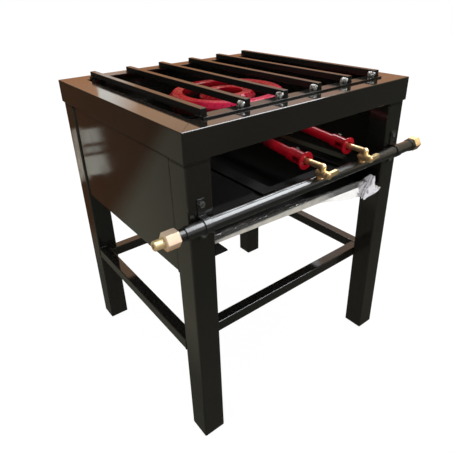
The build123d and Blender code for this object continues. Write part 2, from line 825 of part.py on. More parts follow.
# Packing film: a strip over the front of the tray, gathered in a crumpled bundle at its right end.
film_run = tray_width - 2 * film_end_gap
film_back = -tray_depth / 2 - film_gap
film_high = tray_height + film_above - film_lift
bundle_x = gap_x - bundle_inset
bundle_y = -half_depth - bundle_ahead
with BuildPart() as film:
    with BuildSketch(tray_plane.offset(film_lift)):
        with Locations((0, film_back - film_thick / 2)):
            Rectangle(film_run, film_thick)
    extrude(amount=film_high)
    with BuildSketch(Plane.XY.offset(runner_top + film_lift)):
        fold_right = tray_plane.from_local_coords((film_run / 2, film_back, 0))
        fold_left = tray_plane.from_local_coords((film_run / 2 - film_fold, film_back, 0))
        Polygon(
            (fold_right.X, fold_right.Y), (fold_left.X, fold_left.Y),
            (bundle_x, bundle_y), (bundle_x + film_fold, bundle_y), align=None,
        )
    extrude(amount=film_high)
    for height, width, thick in bundle_rings:
        with BuildSketch(Plane((bundle_x, bundle_y, runner_top + height))):
            Ellipse(width / 2, thick / 2)
    loft()
save(film, "tray_film")
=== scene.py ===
"""A two-ring gas stove stand: gloss enamel, brass fittings, red iron, weld beads and packing film.

Lengths are in metres, with MM for those that are written in millimetres. Patterns count waves in a metre.
"""
import bisect
import json
import logging
import math
import random
from dataclasses import dataclass, field
from enum import Enum
from typing import Iterable, Protocol, Sequence

import bpy
from mathutils import Matrix, Vector, noise


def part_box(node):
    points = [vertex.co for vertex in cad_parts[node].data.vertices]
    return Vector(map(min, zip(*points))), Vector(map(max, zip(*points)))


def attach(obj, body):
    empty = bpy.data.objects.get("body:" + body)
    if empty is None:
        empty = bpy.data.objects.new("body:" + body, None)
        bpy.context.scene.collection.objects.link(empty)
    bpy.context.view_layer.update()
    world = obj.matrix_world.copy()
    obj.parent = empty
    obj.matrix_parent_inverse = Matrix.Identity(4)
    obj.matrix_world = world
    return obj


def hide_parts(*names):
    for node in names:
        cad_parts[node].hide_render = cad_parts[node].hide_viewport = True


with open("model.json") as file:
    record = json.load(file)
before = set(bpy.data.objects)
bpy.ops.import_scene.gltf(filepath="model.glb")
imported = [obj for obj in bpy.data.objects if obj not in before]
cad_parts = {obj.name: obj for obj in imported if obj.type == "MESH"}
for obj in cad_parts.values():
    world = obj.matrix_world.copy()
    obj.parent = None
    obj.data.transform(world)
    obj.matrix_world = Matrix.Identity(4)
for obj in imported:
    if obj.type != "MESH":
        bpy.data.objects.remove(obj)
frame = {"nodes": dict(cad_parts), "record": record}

LOG = logging.getLogger("stove_stand")
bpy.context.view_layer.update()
MM = 0.001
LEFT_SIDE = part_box("leg_front_left")[0].x
RIGHT_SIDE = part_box("leg_front_right")[1].x
RAIL_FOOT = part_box("top_rail_front")[0].z
PIPE_MIDDLE = sum(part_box("gas_pipe"), Vector()) / 2
INLET_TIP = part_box("gas_inlet")[0].x
RING_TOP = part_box("burner_outer_ring")[1].z
RING_RADIUS = -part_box("burner_outer_ring")[0].x
TRAY_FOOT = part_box("drip_tray")[0].z
RIGHT = (1.0, 0.0, 0.0)
BACK = (0.0, 1.0, 0.0)
UP = (0.0, 0.0, 1.0)
WHOLE = (0.0, 1.0)
FALL = (1.0, 0.0)
WHITE = (1.0, 1.0, 1.0, 1.0)
QUARTER_TURN = math.radians(90.0)
TRAY_SKEW = math.radians(3.0)

Colour = tuple[float, float, float, float]
Span = tuple[float, float]
Triple = tuple[float, float, float]
Socket = bpy.types.NodeSocket
Setting = float | Sequence[float] | Socket


class Slot(Enum):
    """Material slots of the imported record."""

    ENAMEL = "black_enamel"
    GRATE = "grate_black"
    PIPE = "pipe_black"
    BRASS = "brass"
    RED = "burner_red"
    ZINC = "zinc_screw"
    FILM = "clear_film"


class Body(Enum):
    """Moving bodies that new pieces ride on."""

    STAND = "stand"
    GRATE = "grate"
    TRAY = "tray"


class Grain(Enum):
    """How a noise pattern is drawn out, as the scale of each axis."""

    EVEN = (1.0, 1.0, 1.0)
    ACROSS = (0.06, 1.0, 1.0)


@dataclass(frozen=True)
class Mottle:
    """Blotches: noise of a scale and detail, whose values in a window are spread over levels."""

    scale: float
    detail: float
    window: Span
    levels: Span = WHOLE


@dataclass(frozen=True)
class Relief:
    """A fine bumpy skin: noise of a scale and detail, raised by a depth."""

    scale: float
    detail: float
    depth: float
    grain: Grain = Grain.EVEN


class NodeGraph:
    """A graph of shader nodes."""

    def __init__(self, tree: bpy.types.NodeTree) -> None:
        """Take over a node tree.

        Args:
            tree: The tree.
        """
        self.tree = tree

    def feed(self, socket: Socket, value: Setting) -> None:
        """Link a socket to another one, or set its value.

        Args:
            socket: The input.
            value: Another socket, or a number or colour.
        """
        if isinstance(value, bpy.types.NodeSocket):
            self.tree.links.new(value, socket)
        else:
            socket.default_value = value

    def add(self, kind: str, inputs: dict[str | int, Setting], **settings: object) -> bpy.types.Node:
        """Add a node.

        Args:
            kind: The node's type.
            inputs: What goes into its sockets.
            settings: Its own options.

        Returns:
            The new node.
        """
        node = self.tree.nodes.new(kind)
        for key, value in settings.items():
            setattr(node, key, value)
        for key, value in inputs.items():
            self.feed(node.inputs[key], value)
        return node

    def spread(self, value: Socket, window: Span, levels: Span = WHOLE) -> Socket:
        """Stretch a window of a value over levels.

        Args:
            value: The value.
            window: Where the window starts and ends.
            levels: Results at its start and end.

        Returns:
            The stretched value, held between the levels.
        """
        inputs = {"Value": value, "From Min": window[0], "From Max": window[1],
                  "To Min": levels[0], "To Max": levels[1]}
        return self.add("ShaderNodeMapRange", inputs).outputs["Result"]

    def times(self, first: Socket, second: Socket) -> Socket:
        """The product of two values."""
        return self.add("ShaderNodeMath", {0: first, 1: second}, operation="MULTIPLY").outputs["Value"]

    def most(self, first: Socket, second: Socket) -> Socket:
        """The larger of two values."""
        return self.add("ShaderNodeMath", {0: first, 1: second}, operation="MAXIMUM").outputs["Value"]

    def blend(self, share: Socket, first: Setting, second: Setting) -> Socket:
        """Mix two colours.

        Args:
            share: Share of the second colour.
            first: The colour at 0.
            second: The colour at 1.

        Returns:
            The mixed colour.
        """
        # The sockets of a Mix node share their names, so those for colours are found by number.
        node = self.add("ShaderNodeMix", {0: share, 6: first, 7: second}, data_type="RGBA")
        return node.outputs[2]


class Graph(NodeGraph):
    """The shader graph of one material, read on Object coordinates."""

    level_tops: Span = (0.55, 0.95)
    edge_samples: int = 4

    def __init__(self, name: str) -> None:
        """Start a material with its Principled shader.

        Args:
            name: Name of the material.
        """
        self.material = bpy.data.materials.new(name)
        self.material.use_nodes = True
        super().__init__(self.material.node_tree)
        self.shader = self.tree.nodes["Principled BSDF"]
        coordinates = self.tree.nodes.new("ShaderNodeTexCoord")
        self.place = coordinates.outputs["Object"]
        self.facing = coordinates.outputs["Normal"]

    def noise(self, scale: float, detail: float, grain: Grain = Grain.EVEN) -> Socket:
        """A noise pattern.

        Args:
            scale: Waves in a metre.
            detail: Octaves.
            grain: How the pattern is drawn out.

        Returns:
            The pattern's value.
        """
        stretched = self.add("ShaderNodeMapping", {"Vector": self.place, "Scale": grain.value})
        made = self.add("ShaderNodeTexNoise",
                        {"Vector": stretched.outputs["Vector"], "Scale": scale, "Detail": detail})
        return made.outputs["Fac"]

    def mottle(self, blotches: Mottle) -> Socket:
        """The value of a blotchy pattern."""
        return self.spread(self.noise(blotches.scale, blotches.detail), blotches.window, blotches.levels)

    def reach(self, towards: Sequence[float]) -> Socket:
        """Distance of a place from the origin, measured in one direction."""
        made = self.add("ShaderNodeVectorMath", {0: self.place, 1: towards}, operation="DOT_PRODUCT")
        return made.outputs["Value"]

    def radius(self) -> Socket:
        """Distance of a place from the upright axis through the origin.

        Returns:
            The distance.
        """
        level = self.add("ShaderNodeVectorMath", {0: self.place, 1: (1.0, 1.0, 0.0)}, operation="MULTIPLY")
        made = self.add("ShaderNodeVectorMath", {0: level.outputs["Vector"]}, operation="LENGTH")
        return made.outputs["Value"]

    def upward(self) -> Socket:
        """How far a face looks up: 0 on walls, 1 on level tops."""
        parts = self.add("ShaderNodeSeparateXYZ", {"Vector": self.facing})
        return self.spread(parts.outputs["Z"], self.level_tops)

    def bump(self, height: Socket, depth: float, under: Socket | None = None) -> Socket:
        """A bumpy surface.

        Args:
            height: The pattern.
            depth: Its depth in metres.
            under: The surface normal that it lies on, if that is changed too.

        Returns:
            The bumpy normal.
        """
        node = self.add("ShaderNodeBump", {"Height": height, "Distance": depth})
        if under is not None:
            self.feed(node.inputs["Normal"], under)
        return node.outputs["Normal"]

    def skin(self, relief: Relief, under: Socket | None = None) -> Socket:
        """The bumpy normal of a fine skin, on top of another normal if there is one."""
        return self.bump(self.noise(relief.scale, relief.detail, relief.grain), relief.depth, under)

    def rounded(self, radius: float) -> Socket:
        """The surface normal with sharp edges rounded over a radius."""
        return self.add("ShaderNodeBevel", {"Radius": radius}, samples=self.edge_samples).outputs["Normal"]

    def set(self, **sockets: Setting) -> bpy.types.Material:
        """Fill the shader's sockets.

        Args:
            sockets: Values by socket name, with underscores for spaces.

        Returns:
            The finished material.
        """
        for key, value in sockets.items():
            self.feed(self.shader.inputs[key.replace("_", " ")], value)
        return self.material

    def show(self, shader: Socket) -> None:
        """Show another shader on the surface."""
        self.feed(self.tree.nodes["Material Output"].inputs["Surface"], shader)


class Finish(Protocol):
    """What every finish can do."""

    def material(self) -> bpy.types.Material:
        """Make the finish's material."""


@dataclass(frozen=True)
class GlossPaint:
    """Gloss paint over steel, with orange peel, rub marks, dust on level tops and a dull band of painted
    shade.

    The band lies between two heights, which are under the floor where the paint has none; on the stand enamel
    it is painted shade just under the rail's lip.
    """

    name: str
    colour: Colour
    worn: Colour
    dust: Colour
    rough: Span
    shine: float
    edge: float = 0.9 * MM
    shaded_seam: Span = (-4.0 * MM, -2.0 * MM)
    shaded_seam_shine: float = 0.1
    seam_blur: float = 0.25
    clouds: Mottle = Mottle(2.6, 4.0, (0.38, 0.66))
    prints: Mottle = Mottle(9.0, 6.0, (0.52, 0.74))
    specks: Mottle = Mottle(420.0, 2.0, (0.62, 0.72))
    peel: Relief = Relief(330.0, 2.0, 0.03 * MM)

    def shaded_seam_share(self, graph: Graph) -> Socket:
        """How far a place lies inside the painted shade band's height.

        Args:
            graph: The paint's graph.

        Returns:
            0 outside it and 1 inside.
        """
        foot, top = self.shaded_seam
        blur = (top - foot) * self.seam_blur
        height = graph.reach(UP)
        above = graph.spread(height, (foot - blur, foot + blur))
        return graph.times(above, graph.spread(height, (top - blur, top + blur), FALL))

    def material(self) -> bpy.types.Material:
        """Make the paint's material.

        Returns:
            The material.
        """
        graph = Graph(self.name)
        dusty = graph.times(graph.mottle(self.specks), graph.upward())
        paint = graph.blend(graph.mottle(self.clouds), self.colour, self.worn)
        return graph.set(
            Base_Color=graph.blend(dusty, paint, self.dust),
            Roughness=graph.spread(graph.mottle(self.prints), WHOLE, self.rough),
            Normal=graph.skin(self.peel, graph.rounded(self.edge)),
            # Less shine in the band paints shade under the rail's lip.
            Specular_IOR_Level=graph.spread(self.shaded_seam_share(graph), WHOLE, (self.shine, self.shaded_seam_shine)))


@dataclass(frozen=True)
class TurnedBrass:
    """Turned and cast brass with tool marks and tarnish, pale at the inlet, with painted shade darkening the
    valve feet and everything underneath.
    """

    name: str = "turned_brass"
    bright: Colour = (0.95, 0.74, 0.40, 1.0)
    pink: Colour = (0.93, 0.64, 0.38, 1.0)
    tarnish: Colour = (0.66, 0.38, 0.15, 1.0)
    pale: Colour = (0.86, 0.69, 0.53, 1.0)
    olive: Colour = (0.70, 0.56, 0.28, 1.0)
    # Colour of the painted shade on the valve feet and the undersides.
    under: Colour = (0.60, 0.30, 0.14, 1.0)
    inlet_end: Span = (LEFT_SIDE, LEFT_SIDE + 90.0 * MM)
    inlet_share: float = 0.85
    tail_end: Span = (INLET_TIP + 18.5 * MM, INLET_TIP + 16.5 * MM)
    tail_share: float = 0.9
    valve_end: Span = (RIGHT_SIDE - 90.0 * MM, RIGHT_SIDE - 40.0 * MM)
    # Heights over which the painted shade fades out on the valve feet and on the undersides, with its
    # strength.
    shaded_valve_foot: Span = (PIPE_MIDDLE.z + 2.0 * MM, PIPE_MIDDLE.z + 24.0 * MM)
    foot_shade_share: float = 0.9
    shaded_underside: Span = (PIPE_MIDDLE.z - 14.0 * MM, PIPE_MIDDLE.z + 6.0 * MM)
    under_shade_share: float = 0.85
    metallic: Span = (0.95, 0.5)
    edge: float = 0.8 * MM
    patches: Mottle = Mottle(70.0, 4.0, (0.35, 0.65))
    stains: Mottle = Mottle(110.0, 4.0, (0.55, 0.75), (0.0, 0.6))
    rough: Mottle = Mottle(200.0, 3.0, (0.3, 0.7), (0.32, 0.42))
    marks: Relief = Relief(2600.0, 2.0, 0.001 * MM, Grain.ACROSS)

    def material(self) -> bpy.types.Material:
        """Make the brass material.

        Returns:
            The material.
        """
        graph = Graph(self.name)
        along_pipe, height = graph.reach(RIGHT), graph.reach(UP)
        inlet = graph.spread(along_pipe, self.inlet_end, (self.inlet_share, 0.0))
        tail = graph.spread(along_pipe, self.tail_end, (0.0, self.tail_share))
        valves = graph.times(graph.spread(along_pipe, self.inlet_end),
                             graph.spread(along_pipe, self.valve_end, FALL))
        # Painted shade: the valve feet and the undersides below the pipe's middle darken towards the under
        # colour.
        shaded_feet = graph.times(valves, graph.spread(height, self.shaded_valve_foot, (self.foot_shade_share, 0.0)))
        low = graph.most(shaded_feet, graph.spread(height, self.shaded_underside, (self.under_shade_share, 0.0)))
        cast = graph.blend(graph.mottle(self.patches), self.bright, self.pink)
        metal = graph.blend(graph.mottle(self.stains), cast, self.tarnish)
        metal = graph.blend(tail, graph.blend(inlet, metal, self.pale), self.olive)
        return graph.set(
            Base_Color=graph.blend(low, metal, self.under),
            Roughness=graph.mottle(self.rough),
            Normal=graph.skin(self.marks, graph.rounded(self.edge)),
            Metallic=graph.spread(inlet, (0.0, self.inlet_share), self.metallic))


@dataclass(frozen=True)
class RedIron:
    """Sand-cast iron under red lacquer, with a painted pink highlight at the front of the rings and painted
    shade under them.
    """

    name: str = "red_lacquered_iron"
    red: Colour = (0.47, 0.005, 0.015, 1.0)
    deep: Colour = (0.30, 0.003, 0.011, 1.0)
    # Colour of the painted pink highlight at the front of the rings.
    rosy: Colour = (0.80, 0.024, 0.120, 1.0)
    # Colour of the painted shade on the rings' outer walls and on the tubes under the ring top.
    skirt_shade: Colour = (0.035, 0.006, 0.006, 1.0)
    front: Span = (-30.0 * MM, -120.0 * MM)
    highlight_share: float = 0.7
    rim: Span = (RING_RADIUS + 5.0 * MM, RING_RADIUS + 11.0 * MM)
    skirt: Span = (RING_TOP - 19.0 * MM, RING_TOP - 5.0 * MM)
    ring: Span = (RING_RADIUS + 1.0 * MM, RING_RADIUS + 40.0 * MM)
    shine: float = 0.04
    coats: Span = (0.17, 0.36)
    coat_rough: float = 0.07
    rough: Span = (0.24, 0.34)
    edge: float = 1.0 * MM
    pools: Mottle = Mottle(24.0, 3.0, (0.4, 0.66))
    pits: Mottle = Mottle(130.0, 3.0, (0.45, 0.7))
    pit_depth: float = 0.012 * MM
    grit: Relief = Relief(420.0, 2.0, 0.004 * MM)

    def material(self) -> bpy.types.Material:
        """Make the red casting's material.

        Returns:
            The material.
        """
        graph = Graph(self.name)
        pits = graph.mottle(self.pits)
        away = graph.radius()
        # Painted shade: below the ring top and near the rings the lacquer darkens to near black.
        low = graph.spread(graph.reach(UP), self.skirt, FALL)
        shaded_skirts = graph.times(low, graph.spread(away, self.ring, FALL))
        # Painted highlight: the front of the rings is blended towards pink.
        ahead = graph.spread(graph.reach(BACK), self.front, (0.0, self.highlight_share))
        painted_highlight_front = graph.times(ahead, graph.spread(away, self.rim, FALL))
        lacquer = graph.blend(graph.mottle(self.pools), self.red, self.deep)
        lacquer = graph.blend(painted_highlight_front, lacquer, self.rosy)
        return graph.set(
            Base_Color=graph.blend(shaded_skirts, lacquer, self.skirt_shade),
            Roughness=graph.spread(pits, WHOLE, self.rough),
            Normal=graph.skin(self.grit, graph.bump(pits, self.pit_depth, graph.rounded(self.edge))),
            Specular_IOR_Level=self.shine,
            Coat_Weight=graph.spread(away, self.rim, self.coats),
            Coat_Roughness=self.coat_rough)


@dataclass(frozen=True)
class DarkZinc:
    """Bare or zinc-plated metal gone dark with handling."""

    name: str = "dark_zinc"
    grey: Colour = (0.40, 0.40, 0.39, 1.0)
    dull: Colour = (0.05, 0.05, 0.05, 1.0)
    rough: Span = (0.22, 0.42)
    metallic: float = 0.9
    edge: float = 0.8 * MM
    grime: Mottle = Mottle(220.0, 4.0, (0.4, 0.62))
    bumps: Relief = Relief(600.0, 2.0, 0.12 * MM)

    def material(self) -> bpy.types.Material:
        """Make the metal's material.

        Returns:
            The material.
        """
        graph = Graph(self.name)
        grime = graph.mottle(self.grime)
        return graph.set(
            Base_Color=graph.blend(grime, self.grey, self.dull),
            Metallic=self.metallic,
            Roughness=graph.spread(grime, WHOLE, self.rough),
            Normal=graph.skin(self.bumps, graph.rounded(self.edge)))


@dataclass(frozen=True)
class ClearFilm:
    """Thin clear packing film, cream along its hem and milky where it is gathered."""

    name: str = "packing_film"
    clear: Colour = (1.0, 0.99, 0.97, 1.0)
    cream: Colour = (0.70, 0.66, 0.57, 1.0)
    milky: Colour = (0.93, 0.91, 0.95, 1.0)
    lip: Span = (243.0 * MM, 244.5 * MM)
    hem_rise: float = 0.0325
    hem: Span = (TRAY_FOOT + 14.5 * MM, TRAY_FOOT + 10.5 * MM)
    loose: Span = (0.0, 100.0 * MM)
    loose_share: float = 0.08
    gathered: Span = (-259.0 * MM, -264.0 * MM)
    passing: Span = (0.97, 0.06)
    rough: Span = (0.05, 0.2)
    index: float = 1.15
    creases: Mottle = Mottle(80.0, 3.0, (0.41, 0.46), (0.1, 1.0))
    streaks: Mottle = Mottle(60.0, 3.0, (0.35, 0.65), (0.7, 1.0))
    wrinkles: Relief = Relief(180.0, 2.0, 0.05 * MM)

    def material(self) -> bpy.types.Material:
        """Make the film material.

        Returns:
            The material.
        """
        graph = Graph(self.name)
        outside = graph.spread(graph.reach((-math.sin(TRAY_SKEW), -math.cos(TRAY_SKEW), 0.0)), self.lip)
        low = graph.times(outside, graph.spread(graph.reach((-self.hem_rise, 0.0, 1.0)), self.hem))
        taut = graph.spread(graph.reach(RIGHT), self.loose, (1.0, self.loose_share))
        strip = graph.times(graph.times(low, taut), graph.mottle(self.streaks))
        bundle = graph.spread(graph.reach(BACK), self.gathered)
        cloudy = graph.most(strip, graph.times(bundle, graph.mottle(self.creases)))
        tint = graph.blend(bundle, self.cream, self.milky)
        return graph.set(
            Base_Color=graph.blend(cloudy, self.clear, tint),
            Roughness=graph.spread(cloudy, WHOLE, self.rough),
            Normal=graph.skin(self.wrinkles),
            Transmission_Weight=graph.spread(cloudy, WHOLE, self.passing),
            IOR=self.index)


@dataclass
class Palette:
    """The finish of each material slot, and a darker, duller copy of the enamel, as painted shade for the
    parts inside.
    """

    finishes: dict[Slot, Finish] = field(default_factory=lambda: {
        Slot.ENAMEL: GlossPaint(
            "black_stand_enamel", colour=(0.0085, 0.0085, 0.0072, 1.0), worn=(0.014, 0.0115, 0.009, 1.0),
            dust=(0.05, 0.046, 0.04, 1.0), rough=(0.07, 0.2), shine=0.5, edge=1.6 * MM,
            # The shaded seam is painted shade: a dull band just under the rail's lip.
            shaded_seam=(RAIL_FOOT - 8.5 * MM, RAIL_FOOT - 3.5 * MM)),
        Slot.GRATE: GlossPaint(
            "black_grate_enamel", colour=(0.007, 0.007, 0.006, 1.0), worn=(0.012, 0.011, 0.0095, 1.0),
            dust=(0.045, 0.042, 0.037, 1.0), rough=(0.1, 0.2), shine=0.15, edge=1.6 * MM),
        Slot.PIPE: GlossPaint(
            "black_pipe_paint", colour=(0.009, 0.009, 0.009, 1.0), worn=(0.016, 0.015, 0.014, 1.0),
            dust=(0.04, 0.04, 0.038, 1.0), rough=(0.2, 0.27), shine=0.55),
        Slot.BRASS: TurnedBrass(),
        Slot.RED: RedIron(),
        Slot.ZINC: DarkZinc(),
        Slot.FILM: ClearFilm(),
    })
    # Painted shade: a darker, duller copy of the stand enamel for the hidden parts and the tray inside the
    # stand.
    inside: GlossPaint = GlossPaint(
        "shaded_inside_enamel", colour=(0.0035, 0.0035, 0.003, 1.0), worn=(0.006, 0.0054, 0.0045, 1.0),
        dust=(0.02, 0.019, 0.017, 1.0), rough=(0.34, 0.48), shine=0.05)

    def __post_init__(self) -> None:
        """Make each material once."""
        self.made = {slot: finish.material() for slot, finish in self.finishes.items()}
        # The shaded enamel copy, painted shade for the parts inside.
        self.dull = self.inside.material()

    @staticmethod
    def coat(node: str, material: bpy.types.Material) -> None:
        """Give a CAD node a material.

        Args:
            node: Name of the node.
            material: The material.
        """
        for held in frame["nodes"][node].material_slots:
            held.material = material
        LOG.info("%s dressed in %s", node, material.name)

    def paint(self, node: str, slot: Slot) -> None:
        """Give a CAD node the finish of a slot."""
        self.coat(node, self.made[slot])

    def paint_shaded_inside(self, node: str) -> None:
        """Give a CAD node the shaded copy of the enamel, painted shade for the parts inside."""
        self.coat(node, self.dull)


class EditMode:
    """Edit mode on one object, left again at the end of the block."""

    def __init__(self, obj: bpy.types.Object) -> None:
        """Remember the object.

        Args:
            obj: The object to edit.
        """
        self.obj = obj

    def __enter__(self) -> None:
        """Open the object, with everything on it selected."""
        bpy.context.view_layer.objects.active = self.obj
        bpy.ops.object.mode_set(mode="EDIT")
        bpy.ops.mesh.select_all(action="SELECT")

    def __exit__(self, *problem: object) -> None:
        """Go back to object mode."""
        bpy.ops.object.mode_set(mode="OBJECT")


class Workpiece:
    """A mesh on the bench: a primitive that operators shape into a piece."""

    def __init__(self) -> None:
        """Take the object that the last operator made."""
        self.obj = bpy.context.active_object

    @staticmethod
    def clear() -> None:
        """Deselect everything, CAD nodes too."""
        bpy.ops.object.select_all(action="DESELECT")

    @classmethod
    def ball(cls, radii: Sequence[float], segments: int, rings: int) -> "Workpiece":
        """Add a ball at the origin and press it to an ellipsoid.

        Args:
            radii: Half sizes along X, Y and Z.
            segments: Faces round it.
            rings: Faces from pole to pole.

        Returns:
            The new workpiece.
        """
        cls.clear()
        bpy.ops.mesh.primitive_uv_sphere_add(segments=segments, ring_count=rings, radius=1.0)
        piece = cls()
        with EditMode(piece.obj):
            bpy.ops.transform.resize(value=radii)
        return piece

    @classmethod
    def sheet(cls, columns: int, rows: int) -> "Workpiece":
        """Add a flat grid of one metre a side.

        Args:
            columns: Faces along X.
            rows: Faces along Y.

        Returns:
            The new workpiece.
        """
        cls.clear()
        bpy.ops.mesh.primitive_grid_add(x_subdivisions=columns, y_subdivisions=rows, size=1.0)
        return cls()

    def modify(self, kind: str, **settings: object) -> None:
        """Add a modifier and apply it.

        Args:
            kind: The modifier's type.
            settings: Its options.
        """
        bpy.context.view_layer.objects.active = self.obj
        modifier = self.obj.modifiers.new(kind.lower(), kind)
        for key, value in settings.items():
            setattr(modifier, key, value)
        bpy.ops.object.modifier_apply(modifier=modifier.name)

    def take(self) -> None:
        """Select this workpiece alone, as the active one."""
        self.clear()
        self.obj.select_set(True)
        bpy.context.view_layer.objects.active = self.obj

    def copy(self, place: Matrix) -> "Workpiece":
        """Copy the workpiece, with a mesh of its own, and place the copy.

        Args:
            place: Where the copy goes.

        Returns:
            The copy.
        """
        self.take()
        bpy.ops.object.duplicate(linked=False)
        twin = Workpiece()
        twin.obj.matrix_world = place
        bpy.ops.object.transform_apply(location=True, rotation=True, scale=True)
        return twin

    def join(self, others: Iterable["Workpiece"]) -> None:
        """Join other workpieces to this one.

        Args:
            others: The workpieces that are taken in.
        """
        self.take()
        for other in others:
            other.obj.select_set(True)
        bpy.ops.object.join()

    def discard(self) -> None:
        """Remove a workpiece that was only copied from."""
        bpy.data.objects.remove(self.obj)

    def finish(self, name: str, body: Body, slot: Slot, palette: Palette,
               crease: float = 35.0) -> bpy.types.Object:
        """Name the piece, shade and dress it, and set it on its body.

        Args:
            name: The piece's name.
            body: Body that it rides on.
            slot: Slot whose finish it takes.
            palette: The finishes.
            crease: Angle in degrees over which an edge stays sharp.

        Returns:
            The finished object.
        """
        self.take()
        bpy.ops.object.shade_smooth_by_angle(angle=math.radians(crease))
        self.obj.name = name
        self.obj.data.name = name
        self.obj.data.materials.clear()
        self.obj.data.materials.append(palette.made[slot])
        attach(self.obj, body.value)
        LOG.info("%s made with %d faces", name, len(self.obj.data.polygons))
        return self.obj


@dataclass
class WeldBead:
    """A run of weld, as ripples that overlap like fallen coins."""

    length: float
    width: float = 5.0 * MM
    height: float = 5.0 * MM
    ripple: float = 2.1 * MM
    voxel: float = 0.55 * MM
    lumps: float = 0.0
    lump_share: float = 0.25
    overlap: float = 0.95
    fewest: int = 3
    segments: int = 16
    rings: int = 10
    softness: float = 0.5
    passes: int = 3

    def lay(self) -> Workpiece:
        """Make one run along X, centred on the origin.

        Returns:
            The bead.
        """
        count = max(self.fewest, round(self.length / self.ripple))
        radii = (self.ripple * self.overlap, self.width / 2, self.height / 2)
        bead = Workpiece.ball(radii, self.segments, self.rings)
        with EditMode(bead.obj):
            bpy.ops.transform.translate(value=(-(count - 1) * self.ripple / 2, 0, 0))
        bead.modify("ARRAY", count=count, use_relative_offset=False, use_constant_offset=True,
                    constant_offset_displace=(self.ripple, 0, 0))
        bead.modify("REMESH", mode="VOXEL", voxel_size=self.voxel)
        if self.lumps:
            spatter = bpy.data.textures.new("weld_lumps", "CLOUDS")
            spatter.noise_scale = self.width * self.lump_share
            bead.modify("DISPLACE", texture=spatter, strength=self.lumps, mid_level=0.5)
        bead.modify("SMOOTH", factor=self.softness, iterations=self.passes)
        return bead


def along(start: Vector, end: Vector, out: Vector, swell: float = 1.0) -> Matrix:
    """Place a piece that was made along X between two points.

    Args:
        start: One end.
        end: The other end.
        out: Direction that its top looks in.
        swell: Factor on its width and height.

    Returns:
        The matrix that places it.
    """
    run = (end - start).normalized()
    side = out.cross(run).normalized()
    top = run.cross(side)
    turn = Matrix((run, side * swell, top * swell)).transposed().to_4x4()
    return Matrix.Translation((start + end) / 2) @ turn


def unite(beads: Sequence[Workpiece], name: str, body: Body, slot: Slot,
          palette: Palette) -> bpy.types.Object:
    """Join beads to one piece and finish it.

    Args:
        beads: The beads.
        name: The piece's name.
        body: Body that it rides on.
        slot: Slot whose finish it takes.
        palette: The finishes.

    Returns:
        The finished object.
    """
    beads[0].join(beads[1:])
    return beads[0].finish(name, body, slot, palette)


def nodes_of(body: Body) -> list[str]:
    """Names of the CAD nodes on a body."""
    return frame["record"]["behaviour"]["bodies"][body.value]


def eased(value: float, start: float, end: float) -> float:
    """Rise softly from 0 to 1.

    Args:
        value: Where it is read.
        start: Where the rise starts.
        end: Where it ends.

    Returns:
        The share risen.
    """
    share = min(1.0, max(0.0, (value - start) / (end - start)))
    return share * share * (3 - 2 * share)


def ridged(where: Vector) -> float:
    """Noise folded to sharp ridges, 1 on their tops."""
    return 1.0 - abs(noise.noise(where)) * 2.0


